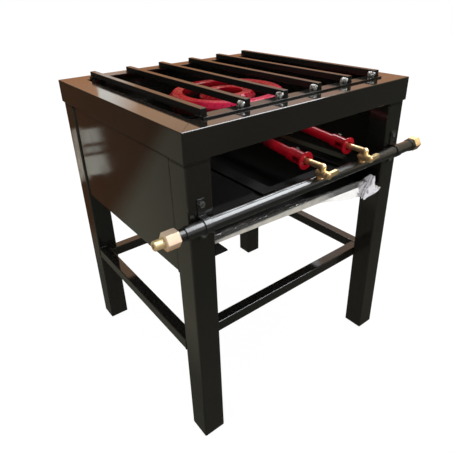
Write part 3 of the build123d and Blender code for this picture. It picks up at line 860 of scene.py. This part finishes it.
@dataclass
class Stand:
    """Legs, rails, panels, stretchers, runners and burner supports of the welded stand."""

    palette: Palette
    outside: tuple[str, ...] = ("leg_", "top_rail", "side_panel", "back_panel", "stretcher")
    hidden: tuple[str, ...] = ("tray_runner", "burner_cross", "burner_support")
    panel_bead: float = 7.4 * MM
    panel_ripple: float = 2.6 * MM
    panel_voxel: float = 0.85 * MM
    rail_run: float = 42.0 * MM
    rail_swell: Span = (0.85, 1.1)
    stretcher_run: float = 21.0 * MM
    stretcher_bead: float = 4.4 * MM
    stretcher_swell: Span = (0.8, 1.1)
    seed: int = 7

    def dress(self) -> None:
        """Paint every welded steel node."""
        for node in nodes_of(Body.STAND):
            if node.startswith(self.outside):
                self.palette.paint(node, Slot.ENAMEL)
            # Hidden parts inside take the shaded enamel copy, painted shade.
            if node.startswith(self.hidden):
                self.palette.paint_shaded_inside(node)

    def weld_rails(self) -> None:
        """Lay a bead under the rails on both outer faces of each leg."""
        chance = random.Random(self.seed)
        master = WeldBead(self.rail_run).lay()
        beads = []
        for leg in ("front_left", "front_right", "rear_left", "rear_right"):
            low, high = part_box(f"leg_{leg}")
            middle = (low + high) / 2
            for face in (0, 1):
                centre = Vector((*middle.xy, RAIL_FOOT))
                centre[face] = low[face] if middle[face] < 0 else high[face]
                half = Vector((0, 0, 0))
                half[1 - face] = self.rail_run / 2
                out = Vector((0, 0, -1))
                out[face] = math.copysign(1, centre[face])
                swell = chance.uniform(*self.rail_swell)
                beads.append(master.copy(along(centre - half, centre + half, out.normalized(), swell)))
        master.discard()
        unite(beads, "rail_welds", Body.STAND, Slot.ENAMEL, self.palette)

    def weld_stretchers(self) -> None:
        """Lay beads round both ends of each stretcher."""
        chance = random.Random(self.seed + 1)
        master = WeldBead(self.stretcher_run, width=self.stretcher_bead, height=self.stretcher_bead).lay()
        beads = []
        for name in ("left", "right", "front", "rear"):
            low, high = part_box(f"stretcher_{name}")
            run = 1 if name in ("left", "right") else 0
            side = 1 - run
            middle = (low + high) / 2
            for end in (low[run], high[run]):
                inward = 1.0 if end < middle[run] else -1.0
                for face, sign in ((side, -1.0), (side, 1.0), (2, 1.0), (2, -1.0)):
                    across = 2 if face == side else side
                    centre = middle.copy()
                    centre[run] = end
                    centre[face] = high[face] if sign > 0 else low[face]
                    half = Vector((0, 0, 0))
                    half[across] = self.stretcher_run / 2
                    out = Vector((0, 0, 0))
                    out[run] = inward
                    out[face] = sign
                    swell = chance.uniform(*self.stretcher_swell)
                    beads.append(master.copy(along(centre - half, centre + half, out.normalized(), swell)))
        master.discard()
        unite(beads, "stretcher_welds", Body.STAND, Slot.ENAMEL, self.palette)

    def weld_panels(self) -> None:
        """Run a bead down both ends of each panel, in the corner beside the leg."""
        foot_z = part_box("back_panel")[0].z
        master = WeldBead(RAIL_FOOT - foot_z, width=self.panel_bead, height=self.panel_bead,
                          ripple=self.panel_ripple, voxel=self.panel_voxel).lay()
        beads = []
        for name in ("side_panel_left", "side_panel_right", "back_panel"):
            low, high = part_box(name)
            run = 0 if name == "back_panel" else 1
            face = 1 - run
            out = Vector((0, 0, 0))
            out[face] = math.copysign(1.0, low[face])
            for end in (low[run], high[run]):
                foot = Vector((0, 0, foot_z))
                foot[run] = end
                foot[face] = low[face] if low[face] < 0 else high[face]
                beads.append(master.copy(along(foot, Vector((*foot.xy, RAIL_FOOT)), out)))
        master.discard()
        unite(beads, "panel_welds", Body.STAND, Slot.ENAMEL, self.palette)

    def build(self) -> None:
        """Dress the stand and weld it."""
        self.dress()
        self.weld_panels()
        self.weld_rails()
        self.weld_stretchers()


@dataclass
class Grate:
    """Lift-off grate of square bars welded to two flats."""

    palette: Palette
    bars: int = 6
    plain_bar: int = 1
    bead_run: float = 14.0 * MM
    bead: float = 4.4 * MM
    bead_swell: Span = (0.8, 1.0)
    fillet_width: float = 14.5 * MM
    fillet_height: float = 6.4 * MM
    fillet_ripple: float = 3.4 * MM
    fillet_lumps: float = 3.4 * MM
    fillet_swell: Span = (0.95, 1.05)
    fillet_out: float = 2.4 * MM
    fillet_up: float = 4.4 * MM
    bare_weld: DarkZinc = DarkZinc(
        "bare_weld_metal", grey=(0.70, 0.70, 0.69, 1.0), dull=(0.09, 0.09, 0.09, 1.0), rough=(0.42, 0.6))
    seed: int = 11

    def dress(self) -> None:
        """Paint the bars and flats."""
        for node in nodes_of(Body.GRATE):
            self.palette.paint(node, Slot.GRATE)

    def weld(self) -> None:
        """Lay a rough fillet left of each front bar end but the first, and thin beads at all other sides."""
        chance = random.Random(self.seed)
        fat = WeldBead(self.bead_run, width=self.fillet_width, height=self.fillet_height,
                       ripple=self.fillet_ripple, lumps=self.fillet_lumps).lay()
        thin = WeldBead(self.bead_run, width=self.bead, height=self.bead).lay()
        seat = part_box("grate_flat_front")[1].z
        fillets, beads = [], []
        for number in range(1, self.bars + 1):
            low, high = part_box(f"grate_bar_{number}")
            for end, inward in ((low.y, 1.0), (high.y, -1.0)):
                run = Vector((0, inward * self.bead_run, 0))
                for x, sign in ((low.x, -1.0), (high.x, 1.0)):
                    out = Vector((sign, 0, 1.0)).normalized()
                    if sign < 0 and inward > 0 and number != self.plain_bar:
                        start = Vector((x - self.fillet_out, end, seat + self.fillet_up))
                        ends = [start, start + run]
                        chance.shuffle(ends)
                        fillets.append(fat.copy(along(*ends, out, chance.uniform(*self.fillet_swell))))
                    else:
                        start = Vector((x, end, seat))
                        swell = chance.uniform(*self.bead_swell)
                        beads.append(thin.copy(along(start, start + run, out, swell)))
        fat.discard()
        thin.discard()
        bare = unite(fillets, "grate_fillets", Body.GRATE, Slot.ZINC, self.palette)
        bare.data.materials[0] = self.bare_weld.material()
        unite(beads, "grate_beads", Body.GRATE, Slot.GRATE, self.palette)

    def build(self) -> None:
        """Dress the grate and weld it."""
        self.dress()
        self.weld()


@dataclass
class Burner:
    """Two cast rings with their mixing tubes, air shutters and lock screws."""

    palette: Palette

    def build(self) -> None:
        """Dress the castings, shutters and lock screws."""
        for ring in ("inner", "outer"):
            self.palette.paint(f"burner_{ring}_ring", Slot.RED)
            self.palette.paint(f"air_shutter_{ring}", Slot.RED)
            self.palette.paint(f"shutter_lock_screw_{ring}", Slot.ZINC)


@dataclass
class GasLine:
    """Gas pipe with its clamps, end fittings and the two lever valves."""

    palette: Palette

    def dress_pipe(self) -> None:
        """Paint the pipe, its clamps and the end fittings."""
        for node in ("gas_pipe", "inlet_nipple", "end_collar", "pipe_clamp_left", "pipe_clamp_right"):
            self.palette.paint(node, Slot.PIPE)
        for node in ("union_nut", "gas_inlet", "end_plug", "gas_jets"):
            self.palette.paint(node, Slot.BRASS)
        self.palette.paint("clamp_screws", Slot.ZINC)

    def dress_valves(self) -> None:
        """Give the valves their brass."""
        for ring in ("inner", "outer"):
            for piece in ("body", "plug", "lever", "tail_nut"):
                self.palette.paint(f"valve_{piece}_{ring}", Slot.BRASS)

    def build(self) -> None:
        """Dress the whole line."""
        self.dress_pipe()
        self.dress_valves()


@dataclass
class Tray:
    """Drip tray and the packing film that is still on its front, gathered at the right end.

    The section runs from the tray's floor over its rim and down its front. The outline of the bundle gives
    heights with their left and right edges. Both are in millimetres.
    """

    palette: Palette
    depth: float = 440.0 * MM
    film_start: float = -226.0 * MM
    film_thick: float = 0.25 * MM
    film_crease: float = 24.0
    mesh_step: float = 1.5 * MM
    section: tuple[Span, ...] = (
        (-30.0, 1.8), (-14.0, 2.4), (-3.8, 11.5), (-3.0, 15.6), (-1.2, 16.2), (0.9, 15.4), (1.0, 8.0),
        (1.6, 3.5), (2.2, 0.6), (4.0, -8.0), (5.0, -22.0))
    shown_section: int = 9
    rim: float = 2.5 * MM
    strip_run: float = 392.0 * MM
    slip: float = 20.0 * MM
    slip_rise: Span = (40.0 * MM, 165.0 * MM)
    crinkle: float = 0.35 * MM
    crease_waves: float = 60.0
    fine_waves: float = 130.0
    broad_stretch: float = 0.6
    broad_layer: float = 2.0
    pucker: float = 4.0 * MM
    pucker_start: Span = (6.0 * MM, 30.0 * MM)
    pucker_end: Span = (70.0 * MM, 125.0 * MM)
    pucker_height: Span = (8.0 * MM, 15.0 * MM)
    pucker_share: float = 0.4
    pucker_waves: float = 190.0
    fold_run: float = 26.0 * MM
    pleat: float = 54.0 * MM
    pleats: int = 4
    outline: tuple[Triple, ...] = (
        (483.0, 196.0, 201.0), (473.0, 189.0, 205.0), (462.0, 176.0, 208.0), (453.0, 167.0, 213.0),
        (445.0, 165.0, 232.0), (439.0, 165.0, 222.0), (434.0, 166.0, 186.0))
    gather: float = -274.0 * MM
    gather_depth: float = 13.0 * MM
    crumple: float = 2.6 * MM
    crumple_waves: float = 34.0
    crumple_layer: float = 5.0 * MM
    facet_share: float = 1.4
    ridge_share: float = 0.9
    fine_share: float = 0.4
    seed: int = 2

    def __post_init__(self) -> None:
        """Work out the film's lengths and the tray's front edge."""
        low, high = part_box("drip_tray")
        self.along_front = Vector((math.cos(TRAY_SKEW), -math.sin(TRAY_SKEW), 0))
        self.out = Vector((-math.sin(TRAY_SKEW), -math.cos(TRAY_SKEW), 0))
        self.front = (low + high) / 2 + self.out * self.depth / 2
        self.front.z = low.z
        lengths = [math.dist(a, b) for a, b in zip(self.section, self.section[1:])]
        self.stations = [sum(lengths[:number]) * MM for number in range(len(self.section))]
        self.width = self.stations[self.shown_section - 1]
        self.bundle_run = self.pleat * self.pleats
        self.length = self.strip_run + self.fold_run + self.bundle_run

    def profile(self, distance: float) -> Span:
        """Follow the film from the tray's floor over its rim and down its front.

        Args:
            distance: Way along the film's section.

        Returns:
            Distances out from the tray's front and up from its bottom.
        """
        number = bisect.bisect_right(self.stations, distance, hi=len(self.stations) - 1) - 1
        share = (distance - self.stations[number]) / (self.stations[number + 1] - self.stations[number])
        (out, up), (next_out, next_up) = self.section[number:number + 2]
        return (out + (next_out - out) * share) * MM, (up + (next_up - up) * share) * MM

    def pucker_rise(self, run: float, up: float) -> float:
        """How far the loose stretch near the left end stands up off the rim.

        Args:
            run: Distance from the film's left end.
            up: Height over the tray's bottom.

        Returns:
            The rise.
        """
        loose = eased(run, *self.pucker_start) * (1.0 - eased(run, *self.pucker_end))
        ripple = 1.0 - self.pucker_share + self.pucker_share * math.sin(run * self.pucker_waves)
        return self.pucker * loose * ripple * eased(up, *self.pucker_height)

    def strip(self, run: float, across: float) -> Vector:
        """A point of the film where it lies over the tray's front edge.

        Args:
            run: Distance from the film's left end.
            across: Distance from its inner edge.

        Returns:
            The point.
        """
        base = self.front + self.along_front * ((self.film_start - self.front.x) / self.along_front.x + run)
        hung = self.slip * eased(base.x, *self.slip_rise)
        out, up = self.profile(across + hung)
        rise = self.pucker_rise(run, up)
        fine = noise.noise(Vector((run, across, 0)) * self.fine_waves)
        broad = noise.noise(Vector((run * self.broad_stretch, across, self.broad_layer)) * self.crease_waves)
        crinkle = self.crinkle * (1.0 + fine) + self.crinkle * (1.0 + broad)
        if out < -self.rim:
            rise += crinkle
        else:
            out += crinkle
        return base + self.out * out + Vector((0, 0, up + rise))

    def bundle(self, run: float, across: float) -> Vector:
        """A point of the film where it is folded to and fro and crumpled.

        Args:
            run: Distance from the first fold.
            across: Distance from its upper edge.

        Returns:
            The point.
        """
        number = min(int(run / self.pleat), self.pleats - 1)
        share = run / self.pleat - number
        if number % 2:
            share = 1.0 - share
        row = across / self.width * (len(self.outline) - 1)
        upper = min(int(row), len(self.outline) - 2)
        height, left, right = (first + (second - first) * (row - upper)
                               for first, second in zip(*self.outline[upper:upper + 2]))
        place = Vector(((left + (right - left) * share) * MM,
                        self.gather + self.gather_depth * (0.5 - run / self.bundle_run), height * MM))
        where = Vector((run, across, self.crumple_layer))
        place += noise.noise_vector(where * self.crumple_waves) * self.crumple
        near, *others = noise.voronoi(where * self.crease_waves)[0]
        folds = self.facet_share * (others[0] - near)
        folds += self.ridge_share * ridged(where * self.crease_waves)
        folds += self.fine_share * ridged(where * self.fine_waves)
        place.y -= self.crumple * folds
        return place

    def film_point(self, run: float, across: float) -> Vector:
        """A point of the whole film.

        Args:
            run: Distance from its left end.
            across: Distance from its upper or inner edge.

        Returns:
            The point.
        """
        fold_end = self.strip_run + self.fold_run
        share = eased(run, self.strip_run, fold_end)
        gathered = self.bundle(max(0.0, run - fold_end), across)
        return self.strip(min(run, fold_end), across).lerp(gathered, share)

    def lay_film(self) -> None:
        """Lay the film over the tray's front as one sheet."""
        noise.seed_set(self.seed)
        film = Workpiece.sheet(round(self.length / self.mesh_step), round(self.width / self.mesh_step))
        for corner in film.obj.data.vertices:
            corner.co = self.film_point((corner.co.x + 0.5) * self.length, (0.5 - corner.co.y) * self.width)
        film.modify("SOLIDIFY", thickness=self.film_thick, offset=0.0)
        piece = film.finish("packing_film", Body.TRAY, Slot.FILM, self.palette, crease=self.film_crease)
        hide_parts("tray_film")

    def build(self) -> None:
        """Dress the tray and lay the film."""
        # The tray takes the shaded enamel copy, painted shade over its own black enamel.
        self.palette.paint_shaded_inside("drip_tray")
        self.lay_film()


@dataclass(frozen=True)
class Card:
    """A flat card: its name, its colour as light, its width and height, its middle and its rotation."""

    name: str
    colour: Colour
    size: Span
    place: Triple
    turn: Triple = (0.0, 0.0, 0.0)


@dataclass(frozen=True)
class Arc:
    """A curved card: its name, the angles in degrees that it starts and ends at, and its radiance."""

    name: str
    start: float
    end: float
    light: float


@dataclass
class Studio:
    """White room with a pale floor, and the cards that the gloss mirrors."""

    fill: float = 0.92
    floor_size: float = 14.0
    floor_colour: Colour = (0.8, 0.8, 0.79, 1.0)
    floor_rough: float = 0.9
    floor_glow: float = 1.06
    glow_share: float = 0.9
    mat_height: float = 0.5 * MM
    mat_dark: Colour = (0.10, 0.10, 0.08, 1.0)
    mat_olive: Colour = (0.27, 0.26, 0.19, 1.0)
    mat_brown: Colour = (0.13, 0.055, 0.022, 1.0)
    olive_from: Span = (-0.36, -0.46)
    brown_way: Triple = (1.21, 1.0, 0.0)
    brown_from: Span = (0.02, 0.2)
    wall_radius: float = 4.0
    wall_height: float = 4.2
    wall_turns: Span = (math.radians(-4.0), math.radians(76.0))
    wall_grid: tuple[int, int] = (48, 2)
    wall_foot: Colour = (0.75, 0.34, 0.16, 1.0)
    wall_beige: Colour = (1.2, 0.74, 0.46, 1.0)
    wall_rosy: Colour = (1.05, 0.80, 0.68, 1.0)
    beige_from: Span = (1.3, 1.9)
    rosy_bearing: float = math.radians(48.0)
    rosy_from: Span = (0.96, 0.995)
    ceiling: float = 4.4
    room_side: float = 9.0
    screens: tuple[Card, ...] = (
        Card("dim_ceiling", (0.33, 0.30, 0.25, 1.0), (room_side, room_side), (0.0, 0.0, ceiling)),
        Card("dim_screen", (0.12, 0.12, 0.10, 1.0), (ceiling, room_side), (-4.5, 0.0, ceiling / 2),
             (0.0, QUARTER_TURN, 0.0)),
        Card("tan_screen", (0.72, 0.62, 0.42, 1.0), (ceiling, room_side), (4.4, 0.0, ceiling / 2),
             (0.0, QUARTER_TURN, 0.0)),
        Card("dim_back", (0.10, 0.09, 0.07, 1.0), (4.2, ceiling), (-2.4, 4.3, ceiling / 2),
             (QUARTER_TURN, 0.0, 0.0)))
    arc_plane: float = 1.3
    arc_radii: Span = (1.3, 3.6)
    arc_grid: tuple[int, int] = (48, 6)
    arc_colour: Colour = (0.94, 0.97, 1.0, 1.0)
    arcs: tuple[Arc, ...] = (Arc("bright_arc", 42.0, 128.0, 16.0), Arc("dim_arc", 128.0, 148.0, 2.2))
    glare_height: float = 1.0 * MM
    glare_turn: Triple = (0.0, 0.0, math.radians(18.0))
    glare: tuple[Card, ...] = (
        Card("far_glare", (0.95, 0.93, 0.82, 1.0), (0.11, 0.32), (-0.905, 1.955, glare_height), glare_turn),
        Card("fold_glare", (0.8, 0.79, 0.7, 1.0), (0.09, 0.11), (-0.81, 1.685, glare_height), glare_turn),
        Card("near_glare", (0.95, 0.93, 0.80, 1.0), (0.115, 0.30), (-0.73, 1.435, glare_height), glare_turn),
        Card("leg_glare", (1.5, 1.35, 1.1, 1.0), (0.027, 0.97), (-0.735, 1.72, glare_height), glare_turn))
    note_size: float = 0.36
    note_place: Triple = (1.0, 3.0, 1.4)
    note_turn: Triple = (QUARTER_TURN, 0.0, 0.0)
    note_pale: Colour = (1.6, 1.55, 1.45, 1.0)
    note_tan: Colour = (1.25, 0.85, 0.6, 1.0)
    note_fade: Span = (-0.08, 0.18)

    @staticmethod
    def seen(graph: NodeGraph) -> Socket:
        """Tell the rays that show a thing from those that only carry its light.

        Args:
            graph: The graph that asks.

        Returns:
            1 on rays from the camera, on mirrored rays and on rays through film, 0 on the rest.
        """
        path = graph.add("ShaderNodeLightPath", {})
        shown = graph.most(path.outputs["Is Camera Ray"], path.outputs["Is Glossy Ray"])
        return graph.most(shown, path.outputs["Is Transmission Ray"])

    @staticmethod
    def lay_plane(size: float, place: Triple, turn: Triple = (0.0, 0.0, 0.0)) -> bpy.types.Object:
        """Lay a square.

        Args:
            size: Its side.
            place: Its middle.
            turn: Its rotation.

        Returns:
            The new object, which is the active one.
        """
        Workpiece.clear()
        bpy.ops.mesh.primitive_plane_add(size=size, location=place, rotation=turn)
        return bpy.context.active_object

    @staticmethod
    def mirror_only(graph: Graph, colour: Setting, strength: float = 1.0) -> None:
        """Make the active object a card of plain light that only gloss sees.

        Args:
            graph: The card's material.
            colour: Colour of its light.
            strength: Its radiance, where 1 is white.
        """
        card = bpy.context.active_object
        card.name = graph.material.name
        glow = graph.add("ShaderNodeEmission", {"Color": colour, "Strength": strength})
        graph.show(glow.outputs["Emission"])
        card.data.materials.append(graph.material)
        card.visible_camera = False
        card.visible_diffuse = False
        card.visible_transmission = False
        card.visible_shadow = False

    def light_world(self) -> None:
        """Make a white background with a softer fill for matt surfaces."""
        world = bpy.data.worlds.new("white_room")
        bpy.context.scene.world = world
        world.use_nodes = True
        graph = NodeGraph(world.node_tree)
        background = graph.tree.nodes["Background"]
        graph.feed(background.inputs["Color"], WHITE)
        graph.feed(background.inputs["Strength"], graph.spread(self.seen(graph), WHOLE, (self.fill, 1.0)))

    def lay_floor(self) -> None:
        """Lay a pale floor that keeps a faint shadow."""
        floor = self.lay_plane(self.floor_size, (0.0, 0.0, 0.0))
        floor.name = "studio_floor"
        graph = Graph("studio_floor")
        graph.set(Base_Color=self.floor_colour, Roughness=self.floor_rough, Specular_IOR_Level=0.0)
        glow = graph.add("ShaderNodeEmission", {"Color": WHITE, "Strength": self.floor_glow})
        share = graph.spread(self.seen(graph), WHOLE, (0.0, self.glow_share))
        mixed = graph.add("ShaderNodeMixShader",
                          {0: share, 1: graph.shader.outputs["BSDF"], 2: glow.outputs["Emission"]})
        graph.show(mixed.outputs["Shader"])
        floor.data.materials.append(graph.material)

    def lay_mat(self) -> None:
        """Lay a dark mat for the gloss to mirror, olive left of the stand and brown behind that."""
        self.lay_plane(self.floor_size, (0.0, 0.0, self.mat_height))
        graph = Graph("dark_mat")
        left = graph.spread(graph.reach(RIGHT), self.olive_from)
        behind = graph.times(left, graph.spread(graph.reach(self.brown_way), self.brown_from))
        near = graph.blend(left, self.mat_dark, self.mat_olive)
        self.mirror_only(graph, graph.blend(behind, near, self.mat_brown))

    def stand_wall(self) -> None:
        """Stand a curved wall, warm as in low sun, behind the stand."""
        first, last = self.wall_turns
        wall = Workpiece.sheet(*self.wall_grid)
        for corner in wall.obj.data.vertices:
            turn = first + (corner.co.x + 0.5) * (last - first)
            corner.co = (self.wall_radius * math.sin(turn), self.wall_radius * math.cos(turn),
                         (corner.co.y + 0.5) * self.wall_height)
        graph = Graph("warm_wall")
        towards = Vector((math.sin(self.rosy_bearing), math.cos(self.rosy_bearing), 0)) / self.wall_radius
        rosy = graph.spread(graph.reach(towards), self.rosy_from)
        high = graph.spread(graph.reach(UP), self.beige_from)
        beige = graph.blend(rosy, self.wall_beige, self.wall_rosy)
        self.mirror_only(graph, graph.blend(high, self.wall_foot, beige))

    def set_cards(self, cards: Sequence[Card]) -> None:
        """Set up flat cards for the gloss to mirror.

        Args:
            cards: The cards.
        """
        for card in cards:
            self.lay_plane(1.0, card.place, card.turn).scale = (*card.size, 1.0)
            self.mirror_only(Graph(card.name), card.colour)

    def hang_arcs(self) -> None:
        """Hang a bright arc with a dim end round the pipe's line, which the pipe mirrors as one long band."""
        inner, outer = self.arc_radii
        for arc in self.arcs:
            band = Workpiece.sheet(*self.arc_grid)
            for corner in band.obj.data.vertices:
                turn = math.radians(arc.start + (corner.co.x + 0.5) * (arc.end - arc.start))
                radius = inner + (corner.co.y + 0.5) * (outer - inner)
                corner.co = (self.arc_plane, PIPE_MIDDLE.y - radius * math.cos(turn),
                             PIPE_MIDDLE.z + radius * math.sin(turn))
            self.mirror_only(Graph(arc.name), self.arc_colour, arc.light)

    def hang_note(self) -> None:
        """Hang a pale note, tan at its right, that shows as a glint on the left rail."""
        self.lay_plane(self.note_size, self.note_place, self.note_turn)
        graph = Graph("pale_note")
        fading = graph.spread(graph.reach(RIGHT), self.note_fade)
        self.mirror_only(graph, graph.blend(fading, self.note_pale, self.note_tan))

    def build(self) -> None:
        """Set the whole studio."""
        bpy.context.scene.view_settings.view_transform = "Standard"
        self.light_world()
        self.lay_floor()
        self.lay_mat()
        self.stand_wall()
        self.set_cards(self.screens)
        self.hang_arcs()
        self.set_cards(self.glare)
        self.hang_note()


@dataclass
class SoftBox:
    """The soft lamp overhead."""

    size: Span = (0.75, 1.2)
    radiance: float = 3.0
    place: Triple = (0.75, 0.2, 2.0)
    target: Triple = (0.3, 0.0, 0.6)

    def build(self) -> None:
        """Hang the lamp and turn it to its target."""
        data = bpy.data.lights.new("overhead_box", "AREA")
        data.shape = "RECTANGLE"
        data.size, data.size_y = self.size
        data.energy = self.radiance * math.pi * self.size[0] * self.size[1]
        lamp = bpy.data.objects.new("overhead_box", data)
        bpy.context.scene.collection.objects.link(lamp)
        lamp.location = self.place
        lamp.rotation_euler = (Vector(self.target) - Vector(self.place)).to_track_quat("-Z", "Y").to_euler()
        lamp.visible_camera = False


@dataclass
class Camera:
    """The camera, where the picture was taken from."""

    eye: Triple = (-0.6039, -0.8010, 0.8858)
    azimuth: float = math.radians(36.94)
    elevation: float = math.radians(26.73)
    roll: float = -0.0305
    lens: float = 34.47
    sensor: float = 36.0
    shift: Span = (-0.0091, -0.0582)
    near_limit: float = 20.0 * MM

    def build(self) -> None:
        """Set up the camera."""
        data = bpy.data.cameras.new("camera")
        data.lens = self.lens
        data.sensor_width = self.sensor
        data.shift_x, data.shift_y = self.shift
        data.clip_start = self.near_limit
        camera = bpy.data.objects.new("camera", data)
        bpy.context.scene.collection.objects.link(camera)
        right = Vector((math.cos(self.azimuth), -math.sin(self.azimuth), 0))
        ahead = Vector((math.sin(self.azimuth) * math.cos(self.elevation),
                        math.cos(self.azimuth) * math.cos(self.elevation), -math.sin(self.elevation)))
        up = right.cross(ahead)
        tilted_right = right * math.cos(self.roll) + up * math.sin(self.roll)
        tilted_up = up * math.cos(self.roll) - right * math.sin(self.roll)
        turn = Matrix((tilted_right, tilted_up, -ahead)).transposed().to_4x4()
        camera.matrix_world = Matrix.Translation(self.eye) @ turn
        bpy.context.scene.camera = camera


def main() -> None:
    """Build every sub-assembly, then the studio."""
    logging.basicConfig(level=logging.INFO, format="%(message)s")
    palette = Palette()
    pieces = (Stand(palette), Grate(palette), Burner(palette), GasLine(palette), Tray(palette))
    for assembly in (*pieces, Studio(), SoftBox(), Camera()):
        assembly.build()
        LOG.info("%s done", type(assembly).__name__)


if __name__ == "__main__":
    main()
